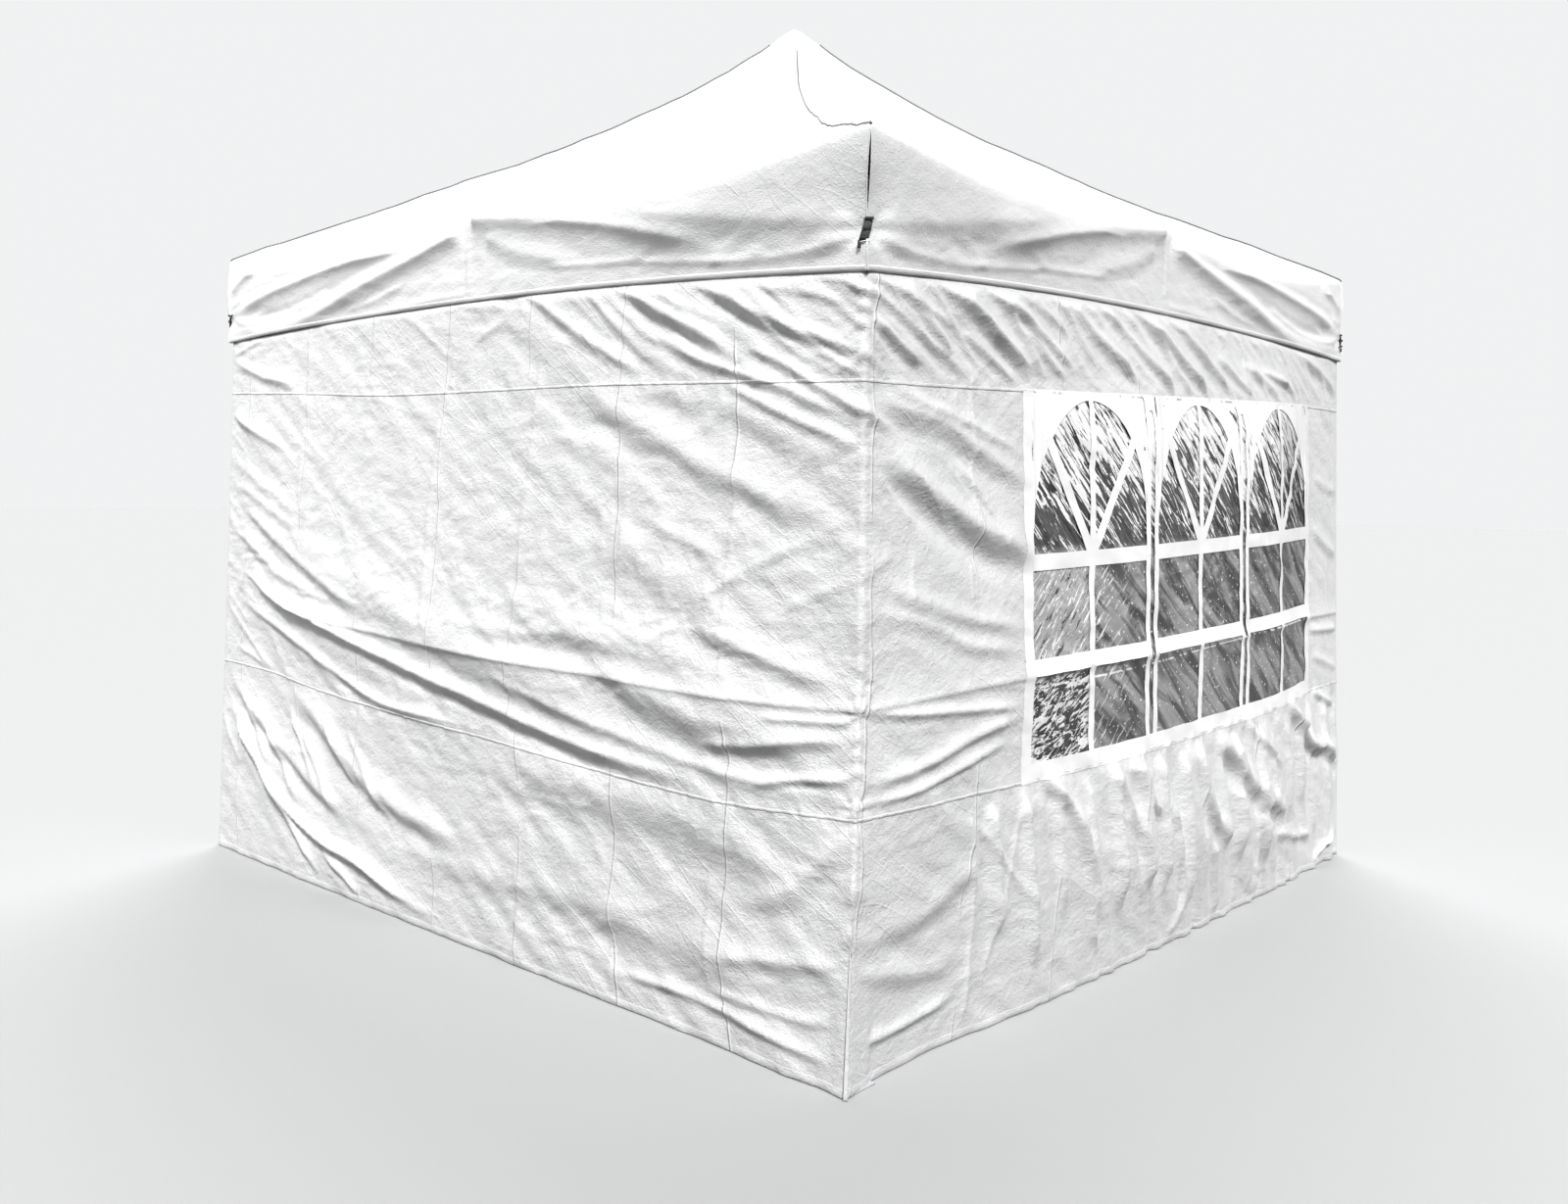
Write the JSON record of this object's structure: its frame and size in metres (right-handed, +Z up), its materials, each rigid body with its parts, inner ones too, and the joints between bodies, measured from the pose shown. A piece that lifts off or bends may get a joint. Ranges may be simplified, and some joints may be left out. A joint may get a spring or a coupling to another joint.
{
  "type": "folding gazebo",
  "caption": "Square folding gazebo with a peaked fabric canopy, hanging valances, scissor-truss frame, plain side walls and walls with an arched window band.",
  "frame": {"origin": "centre of the footprint, on the ground below the peak", "axes": "+Z up, -Y out of the front window wall, -X out of the left plain wall"},
  "size_m": [3, 3, 3.1308],
  "materials": {
    "canopy_fabric": "white coated polyester, satin sheen",
    "wall_fabric": "white coated polyester, satin sheen, creased",
    "window_film": "clear crinkled film with printed white bars",
    "frame_steel": "pale grey powder coat",
    "frame_joint": "black moulded nylon"
  },
  "bodies": {
    "root": {"front_roof_panel": "canopy_fabric", "right_roof_panel": "canopy_fabric", "back_roof_panel": "canopy_fabric", "left_roof_panel": "canopy_fabric", "front_valance": "canopy_fabric", "right_valance": "canopy_fabric", "back_valance": "canopy_fabric", "left_valance": "canopy_fabric", "front_wall": "wall_fabric", "right_wall": "wall_fabric", "back_wall": "wall_fabric", "left_wall": "wall_fabric", "front_window": "window_film", "back_window": "window_film", "front_truss_left": "frame_steel", "front_truss_right": "frame_steel", "front_truss_inner": "frame_steel", "right_truss_left": "frame_steel", "right_truss_right": "frame_steel", "right_truss_inner": "frame_steel", "back_truss_left": "frame_steel", "back_truss_right": "frame_steel", "back_truss_inner": "frame_steel", "left_truss_left": "frame_steel", "left_truss_right": "frame_steel", "left_truss_inner": "frame_steel", "front_middle_bracket_top": "frame_joint", "front_middle_bracket_bottom": "frame_joint", "right_middle_bracket_top": "frame_joint", "right_middle_bracket_bottom": "frame_joint", "back_middle_bracket_top": "frame_joint", "back_middle_bracket_bottom": "frame_joint", "left_middle_bracket_top": "frame_joint", "left_middle_bracket_bottom": "frame_joint", "front_left_leg_upper": "frame_steel", "front_left_leg_lower": "frame_steel", "front_left_corner_bracket": "frame_joint", "front_left_slider": "frame_joint", "front_right_leg_upper": "frame_steel", "front_right_leg_lower": "frame_steel", "front_right_corner_bracket": "frame_joint", "front_right_slider": "frame_joint", "back_right_leg_upper": "frame_steel", "back_right_leg_lower": "frame_steel", "back_right_corner_bracket": "frame_joint", "back_right_slider": "frame_joint", "back_left_leg_upper": "frame_steel", "back_left_leg_lower": "frame_steel", "back_left_corner_bracket": "frame_joint", "back_left_slider": "frame_joint", "hub_top": "frame_joint", "hub_bottom": "frame_joint", "peak_pole": "frame_steel", "peak_cap": "frame_joint"}
  },
  "joints": []
}
